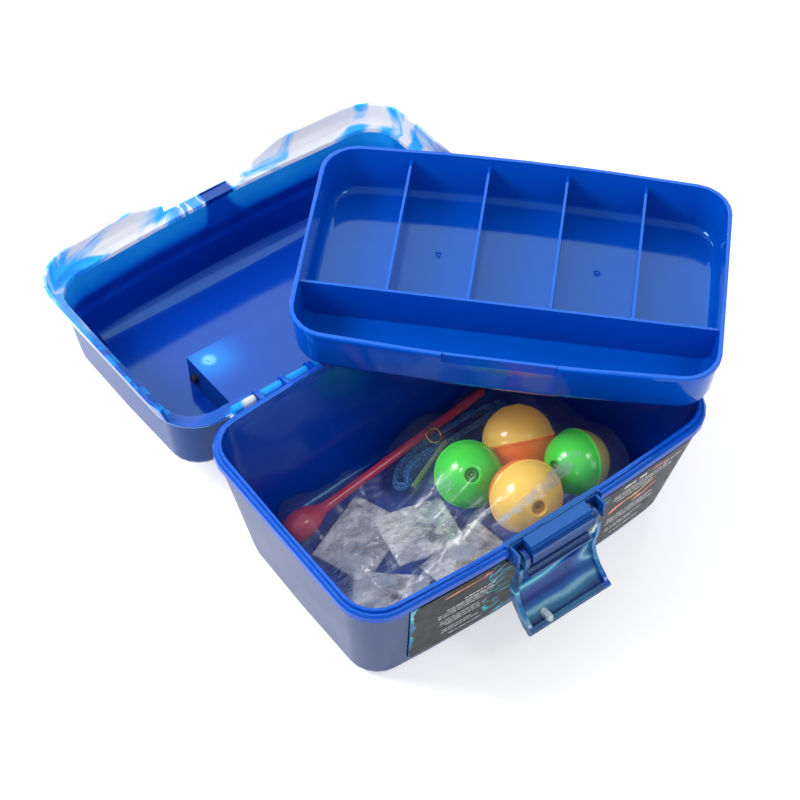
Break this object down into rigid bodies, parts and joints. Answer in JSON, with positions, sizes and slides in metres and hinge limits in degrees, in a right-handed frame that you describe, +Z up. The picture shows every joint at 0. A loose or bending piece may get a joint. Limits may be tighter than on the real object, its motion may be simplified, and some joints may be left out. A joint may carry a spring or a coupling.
{
  "type": "fishing tackle box with lift-out tray and starter kit",
  "caption": "Open tackle box with hinged lid, hanging front latch, folding handle, divided lift-out tray and a bagged kit of floats, disgorger, stringer and packets.",
  "frame": {"origin": "middle of the tub's flat underside", "axes": "+X along the long side, +Y from the latch side to the hinge side, +Z up"},
  "size_m": [0.3543, 0.3776, 0.1338],
  "materials": {
    "blue_plastic": "glossy injection-moulded plastic",
    "tray_blue": "glossy injection-moulded plastic",
    "lid_marble": "glossy plastic marbled blue, sky blue and white",
    "latch_marble": "glossy plastic marbled navy and teal",
    "label_film": null,
    "black_plastic": "satin black plastic",
    "green_plastic": "glossy",
    "yellow_plastic": "glossy",
    "amber_plastic": "glossy",
    "orange_plastic": "glossy",
    "olive_plastic": "glossy",
    "spring_steel": "bright wire",
    "brass_wire": "bright wire",
    "bronze_wire": "bronzed wire",
    "lead": "dull cast metal",
    "red_clear": "translucent red plastic",
    "blue_braid": "braided line",
    "needle_tube": "thin clear-green tube",
    "clear_film": "thin clear film"
  },
  "bodies": {
    "tub": {"base_tub": "blue_plastic", "front_label": "label_film", "green_float_upper_shell": "green_plastic", "green_float_lower_shell": "green_plastic", "green_float_spring": "spring_steel", "yellow_float_upper_shell": "yellow_plastic", "yellow_float_lower_shell": "orange_plastic", "yellow_float_spring": "spring_steel", "orange_float_upper_shell": "amber_plastic", "orange_float_lower_shell": "orange_plastic", "orange_float_spring": "spring_steel", "lime_float_upper_shell": "green_plastic", "lime_float_lower_shell": "olive_plastic", "lime_float_spring": "spring_steel", "hook_disgorger": "red_clear", "stringer_cord": "blue_braid", "stringer_needle": "needle_tube", "stringer_ring": "brass_wire", "hook_packet": "clear_film", "sinker_packet": "clear_film", "swivel_packet": "clear_film", "split_shot_packet": "clear_film", "kit_bag": "clear_film", "bait_hook_large": "spring_steel", "bait_hook_small": "bronze_wire", "egg_sinker_left": "lead", "egg_sinker_right": "lead", "barrel_swivel": "bronze_wire", "snap_swivel": "brass_wire", "split_shot": "lead"},
    "lid": {"lid_shell": "lid_marble"},
    "handle": {"carry_handle": "black_plastic"},
    "tray": {"lift_out_tray": "tray_blue"},
    "latch": {"front_latch": "latch_marble"},
    "green_float_plunger": {"green_float_plunger": "green_plastic", "green_float_hook": "brass_wire"},
    "yellow_float_plunger": {"yellow_float_plunger": "yellow_plastic", "yellow_float_hook": "brass_wire"},
    "orange_float_plunger": {"orange_float_plunger": "amber_plastic", "orange_float_hook": "brass_wire"},
    "lime_float_plunger": {"lime_float_plunger": "green_plastic", "lime_float_hook": "brass_wire"}
  },
  "joints": [
    {"name": "lid_hinge", "type": "hinge", "parent": "tub", "child": "lid", "pos_m": [0, 0.0898, 0.0907], "axis": [1, 0, 0], "range_deg": [0, 185]},
    {"name": "tray_lift", "type": "slide", "parent": "tub", "child": "tray", "axis": [0, 0, 1], "range_m": [0, 0.486]},
    {"name": "latch_hinge", "type": "hinge", "parent": "tub", "child": "latch", "pos_m": [0, -0.0894, 0.088], "axis": [-1, 0, 0], "range_deg": [0, 168]},
    {"name": "handle_fold", "type": "hinge", "parent": "lid", "child": "handle", "pos_m": [0, 0.16459, 0.03226], "axis": [1, 0, 0], "range_deg": [-44, 50]},
    {"name": "green_float_press", "type": "slide", "parent": "tub", "child": "green_float_plunger", "axis": [0.311, 0.543, -0.78], "range_m": [0, 0.0025], "stiffness_N_per_m": 60, "springref_m": -0.001, "deforming": ["green_float_spring"]},
    {"name": "yellow_float_press", "type": "slide", "parent": "tub", "child": "yellow_float_plunger", "axis": [-0.271, -0.726, -0.632], "range_m": [0, 0.0025], "stiffness_N_per_m": 60, "springref_m": -0.001, "deforming": ["yellow_float_spring"]},
    {"name": "orange_float_press", "type": "slide", "parent": "tub", "child": "orange_float_plunger", "axis": [0.2349, 0.8097, -0.5378], "range_m": [0, 0.0025], "stiffness_N_per_m": 60, "springref_m": -0.001, "deforming": ["orange_float_spring"]},
    {"name": "lime_float_press", "type": "slide", "parent": "tub", "child": "lime_float_plunger", "axis": [0.9184, -0.022, -0.3952], "range_m": [0, 0.0025], "stiffness_N_per_m": 60, "springref_m": -0.001, "deforming": ["lime_float_spring"]}
  ],
  "couplings": [
    {"joint": "tray_lift", "follows": "lid_hinge", "m_per_rad": 0.15}
  ]
}
